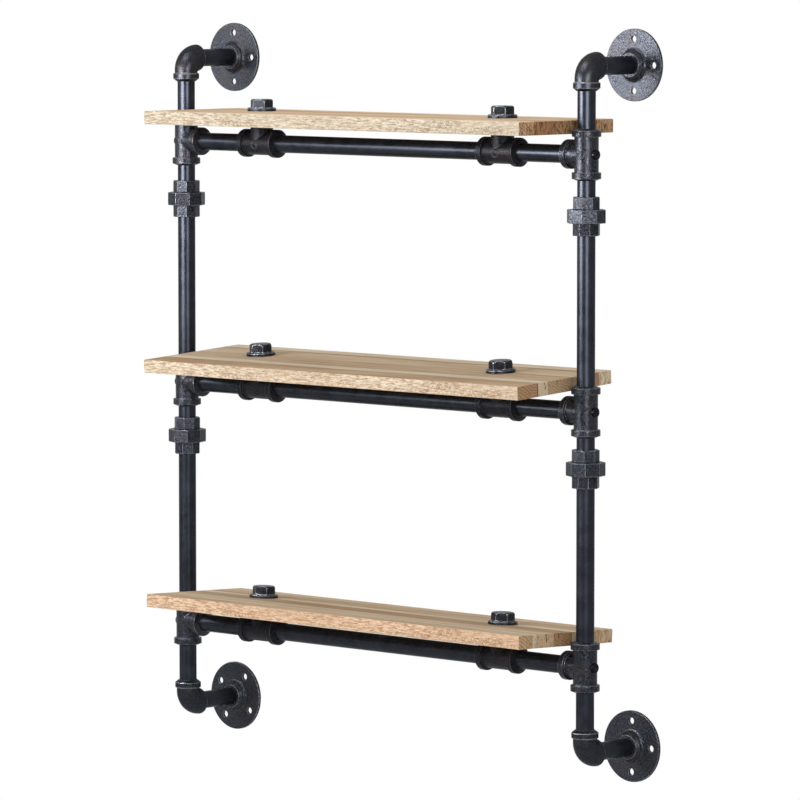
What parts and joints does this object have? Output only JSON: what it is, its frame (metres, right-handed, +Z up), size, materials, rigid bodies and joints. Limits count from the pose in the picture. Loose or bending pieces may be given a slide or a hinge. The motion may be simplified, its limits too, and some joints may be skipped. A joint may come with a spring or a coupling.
{
  "type": "pipe shelving unit",
  "caption": "Wall-mounted open shelving unit: screwed black iron pipe uprights and cross runs with tees, elbows and unions carry flat oak boards bolted down from above.",
  "frame": {"origin": "middle of the four wall flanges, in the plane of their backs (the wall)", "axes": "+X along the boards, to the right seen from the front; +Y into the wall; +Z up. The boards stand out towards -Y."},
  "size_m": [0.7358, 0.1815, 0.8814],
  "materials": {
    "black_pipe": "satin black-blue lacquer over smooth steel pipe",
    "black_casting": "black, fine rough cast skin",
    "black_fastener": "black, satin",
    "oak_board": "matt oak boards glued up from strips, fine open grain"
  },
  "bodies": {
    "root": {"bottom_board": "oak_board", "bottom_centre_pipe": "black_pipe", "bottom_left_shelf_tee": "black_casting", "bottom_left_side_nipple": "black_pipe", "bottom_right_shelf_tee": "black_casting", "bottom_right_side_nipple": "black_pipe", "left_bottom_tee": "black_casting", "left_lower_elbow": "black_casting", "left_lower_flange": "black_casting", "left_lower_long_pipe": "black_pipe", "left_lower_nipple": "black_pipe", "left_lower_short_nipple": "black_pipe", "left_lower_union_collar": "black_casting", "left_lower_union_thread_end": "black_casting", "left_lower_wall_nipple": "black_pipe", "left_middle_tee": "black_casting", "left_top_tee": "black_casting", "left_upper_elbow": "black_casting", "left_upper_flange": "black_casting", "left_upper_long_pipe": "black_pipe", "left_upper_nipple": "black_pipe", "left_upper_short_nipple": "black_pipe", "left_upper_union_collar": "black_casting", "left_upper_union_thread_end": "black_casting", "left_upper_wall_nipple": "black_pipe", "middle_board": "oak_board", "middle_centre_pipe": "black_pipe", "middle_left_shelf_tee": "black_casting", "middle_left_side_nipple": "black_pipe", "middle_right_shelf_tee": "black_casting", "middle_right_side_nipple": "black_pipe", "right_bottom_tee": "black_casting", "right_lower_elbow": "black_casting", "right_lower_flange": "black_casting", "right_lower_long_pipe": "black_pipe", "right_lower_nipple": "black_pipe", "right_lower_short_nipple": "black_pipe", "right_lower_union_collar": "black_casting", "right_lower_union_thread_end": "black_casting", "right_lower_wall_nipple": "black_pipe", "right_middle_tee": "black_casting", "right_top_tee": "black_casting", "right_upper_elbow": "black_casting", "right_upper_flange": "black_casting", "right_upper_long_pipe": "black_pipe", "right_upper_nipple": "black_pipe", "right_upper_short_nipple": "black_pipe", "right_upper_union_collar": "black_casting", "right_upper_union_thread_end": "black_casting", "right_upper_wall_nipple": "black_pipe", "run_end_plugs": "black_fastener", "shelf_bolts": "black_fastener", "tee_screws": "black_fastener", "top_board": "oak_board", "top_centre_pipe": "black_pipe", "top_left_shelf_tee": "black_casting", "top_left_side_nipple": "black_pipe", "top_right_shelf_tee": "black_casting", "top_right_side_nipple": "black_pipe", "union_nuts": "black_casting"}
  },
  "joints": []
}
